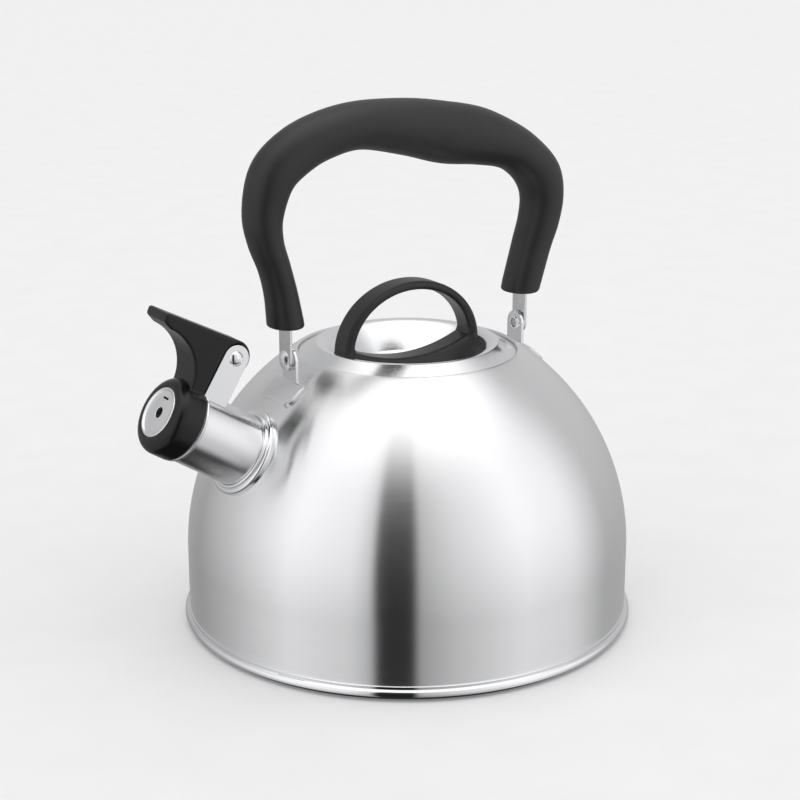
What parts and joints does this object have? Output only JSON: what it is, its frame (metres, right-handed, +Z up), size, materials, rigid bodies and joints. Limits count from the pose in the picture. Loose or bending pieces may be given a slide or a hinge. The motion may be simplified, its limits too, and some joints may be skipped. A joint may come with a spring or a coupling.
{
  "type": "stovetop whistling kettle",
  "caption": "Domed steel stovetop kettle with a folding arched grip, a lift-off lid with a loop knob, and a short spout closed by a sprung whistle cap with a thumb lever.",
  "frame": {"origin": "centre of the flat base, on the stove", "axes": "+Z up, -X towards the spout, handle in the XZ plane"},
  "size_m": [0.2379, 0.21, 0.241],
  "materials": {
    "brushed_wall": "brushed round the axis",
    "polished_steel": "polished",
    "plain_steel": "satin",
    "aluminium": "matt",
    "spring_steel": "drawn wire",
    "soft_grip": "soft matt",
    "black_plastic": "satin",
    "silicone": "matt"
  },
  "bodies": {
    "vessel": {"body_wall": "brushed_wall", "body_shoulder": "brushed_wall", "body_dome": "brushed_wall", "lid_seat": "brushed_wall", "base_pan": "polished_steel", "base_core": "aluminium", "base_cap": "plain_steel", "spout_tube": "brushed_wall", "spout_collar": "polished_steel", "spout_bracket": "polished_steel", "hinge_pin": "polished_steel", "cap_spring": "spring_steel", "bracket_front": "polished_steel", "bracket_rear": "polished_steel", "washer_front": "plain_steel", "washer_rear": "plain_steel", "rivet_front": "polished_steel", "rivet_rear": "polished_steel"},
    "handle": {"strap_front": "polished_steel", "strap_rear": "polished_steel", "handle_grip": "soft_grip"},
    "whistle": {"whistle_cap": "black_plastic", "whistle_front": "polished_steel", "whistle_rear": "plain_steel", "cap_seal": "silicone"},
    "lid": {"lid_pan": "polished_steel", "lid_skirt": "plain_steel", "lid_knob": "black_plastic", "lid_screws": "plain_steel"}
  },
  "joints": [
    {"name": "handle_fold", "type": "hinge", "parent": "vessel", "child": "handle", "pos_m": [0, 0, 0.13034], "axis": [1, 0, 0], "range_deg": [-95, 95]},
    {"name": "whistle_flip", "type": "hinge", "parent": "vessel", "child": "whistle", "pos_m": [-0.09225, 0, 0.13733], "axis": [0, 1, 0], "range_deg": [0, 55], "stiffness_Nm_per_rad": 0.06, "springref_deg": -45.84, "deforming": ["cap_spring"]},
    {"name": "lid_lift", "type": "slide", "parent": "vessel", "child": "lid", "axis": [0, 0, 1], "range_m": [0, 0.045]}
  ]
}
